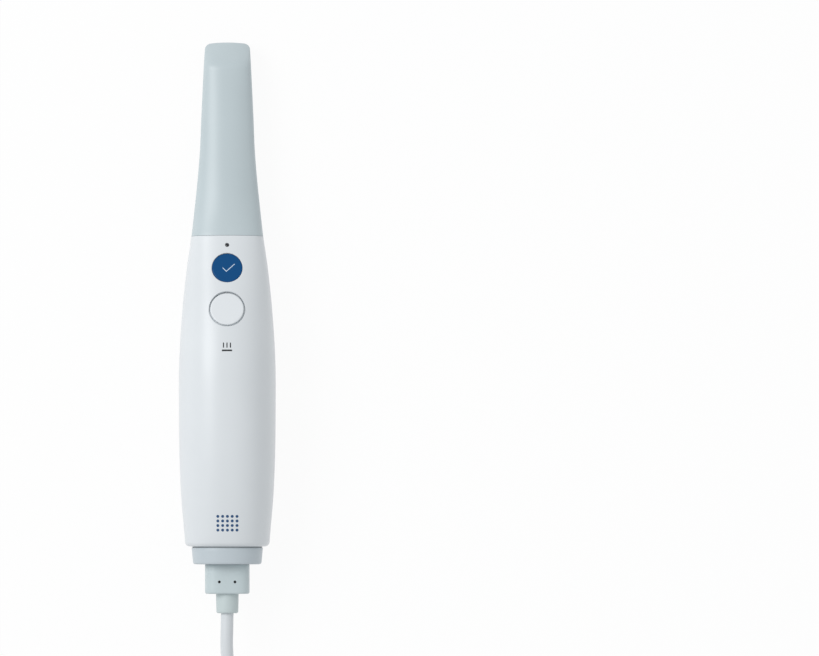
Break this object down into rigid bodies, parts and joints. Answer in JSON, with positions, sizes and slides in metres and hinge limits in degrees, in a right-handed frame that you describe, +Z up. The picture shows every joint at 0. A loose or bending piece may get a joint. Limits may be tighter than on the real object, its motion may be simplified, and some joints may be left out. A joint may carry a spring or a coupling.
{
  "type": "intraoral scanner",
  "caption": "Hand-held dental scanner: slim removable mirror tip, rounded grip with push keys, rear collar with a plug-in lead tied in a hank.",
  "frame": {"origin": "centre of the scanner's bounding box, cord left out, on the surface that it lies on", "axes": "+Y towards the tip, +Z up through the keys, +X to the right seen from above"},
  "size_m": [0.0554, 0.4709, 0.0437],
  "materials": {
    "white_shell": "satin moulded plastic",
    "white_key": "satin moulded plastic",
    "blue_key": "polished moulded plastic",
    "tip_plastic": "satin heat-proof plastic",
    "collar_plastic": "satin moulded plastic",
    "plug_plastic": "satin moulded plastic",
    "inner_plastic": "moulded plastic",
    "clear_plastic": "clear moulded plastic",
    "mirror_glass": "front-coated mirror",
    "window_glass": "coated optical glass",
    "black_metal": "black anodised",
    "bare_aluminium": "satin",
    "circuit_board": "solder-masked laminate",
    "chip_plastic": "moulded packages",
    "steel": "plated",
    "contact_metal": "gold plated",
    "seal_rubber": "moulded",
    "relief_rubber": "moulded",
    "cord_jacket": "smooth jacket",
    "tie_fabric": "woven strap"
  },
  "bodies": {
    "scanner": {"upper_housing": "white_shell", "lower_housing": "white_shell", "scan_switch": "inner_plastic", "confirm_switch": "inner_plastic", "button_board": "circuit_board", "status_light_pipe": "clear_plastic", "nose_tube": "black_metal", "nose_window": "window_glass", "nose_seal": "seal_rubber", "nose_screws": "steel", "optics_chassis": "bare_aluminium", "chassis_screws": "steel", "projector_lens": "black_metal", "projector_engine": "inner_plastic", "projector_heat_sink": "bare_aluminium", "left_camera_lens": "black_metal", "right_camera_lens": "black_metal", "left_camera_board": "circuit_board", "right_camera_board": "circuit_board", "main_board": "circuit_board", "board_chips": "chip_plastic", "chip_cooler": "bare_aluminium", "board_screws": "steel", "rear_cap": "collar_plastic", "rear_gasket": "seal_rubber", "cap_screws": "steel", "rear_socket": "inner_plastic", "socket_pins": "contact_metal"},
    "scan_key": {"scan_button": "white_key", "scan_plunger": "inner_plastic"},
    "confirm_key": {"confirm_button": "blue_key", "confirm_plunger": "inner_plastic"},
    "tip": {"tip_sleeve": "tip_plastic", "tip_mirror": "mirror_glass"},
    "cable": {"plug_housing": "plug_plastic", "plug_insert": "inner_plastic", "plug_screws": "steel", "strain_relief": "relief_rubber", "cord_lead": "cord_jacket", "cord_tail": "cord_jacket", "cord_hank": "cord_jacket", "hank_ties": "tie_fabric", "usb_grip": "plug_plastic", "usb_shell": "steel", "usb_tongue": "inner_plastic"}
  },
  "joints": [
    {"name": "scan_button_press", "type": "slide", "parent": "scanner", "child": "scan_key", "axis": [0, -0.3132, -0.9497], "range_m": [0, 0.0008], "stiffness_N_per_m": 2000, "springref_m": -0.0003},
    {"name": "confirm_button_press", "type": "slide", "parent": "scanner", "child": "confirm_key", "axis": [0, -0.3132, -0.9497], "range_m": [0, 0.0008], "stiffness_N_per_m": 2000, "springref_m": -0.0003},
    {"name": "tip_pull", "type": "slide", "parent": "scanner", "child": "tip", "axis": [0, 0.9986, -0.0523], "range_m": [0, 0.062]},
    {"name": "cable_unplug", "type": "slide", "parent": "scanner", "child": "cable", "axis": [0, -1, 0], "range_m": [0, 0.012]}
  ]
}
